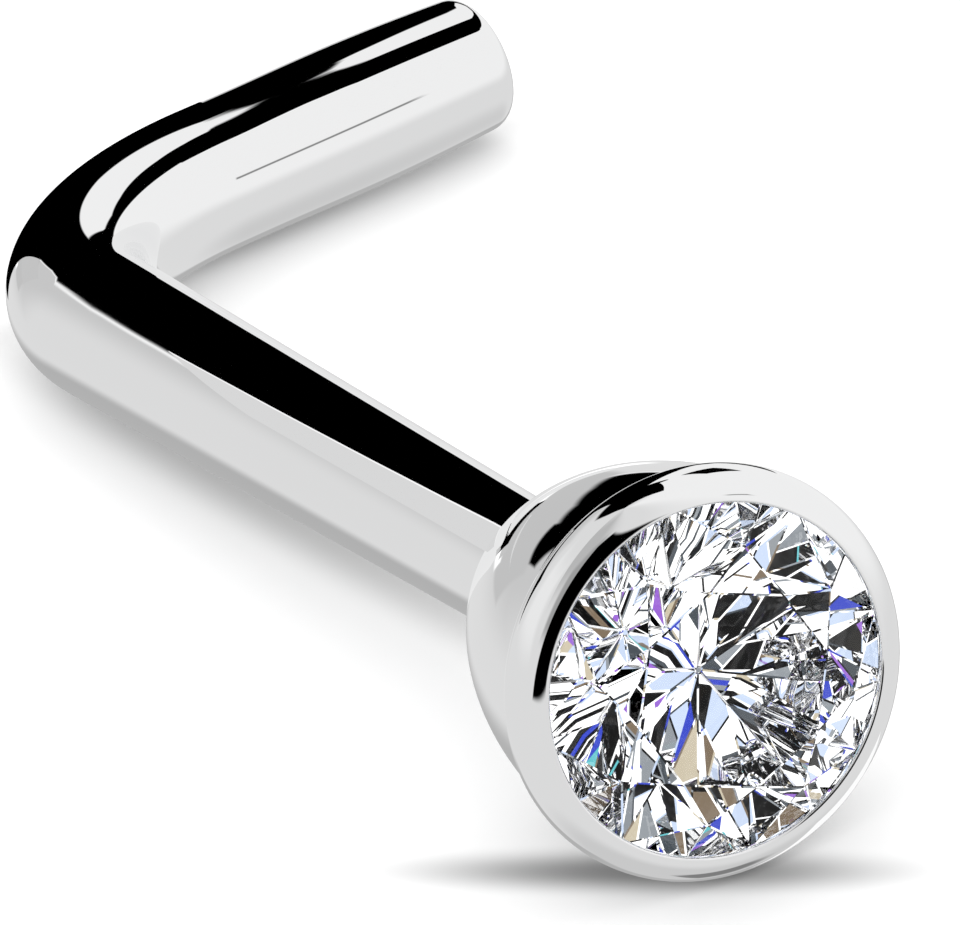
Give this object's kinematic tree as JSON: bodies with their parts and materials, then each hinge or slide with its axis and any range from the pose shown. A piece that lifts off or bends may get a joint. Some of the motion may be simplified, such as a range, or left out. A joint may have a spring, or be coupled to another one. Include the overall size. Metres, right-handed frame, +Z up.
{
  "type": "piercing stud",
  "caption": "Nose stud with a round brilliant in a bezel cup on a straight wire post that turns into a short leg, so that it stays in a piercing.",
  "frame": {"origin": "middle of the base of the bounding box, on the surface that the stud rests on", "axes": "+Z up, +X along the post towards the stone, +Y towards the leg's end"},
  "size_m": [0.01, 0.0044, 0.0023],
  "materials": {
    "polished_metal": "mirror-polished silvery metal, such as surgical steel",
    "clear_stone": "polished, colourless, faceted as a round brilliant"
  },
  "bodies": {
    "root": {"bezel_and_post": "polished_metal", "stone": "clear_stone"}
  },
  "joints": []
}
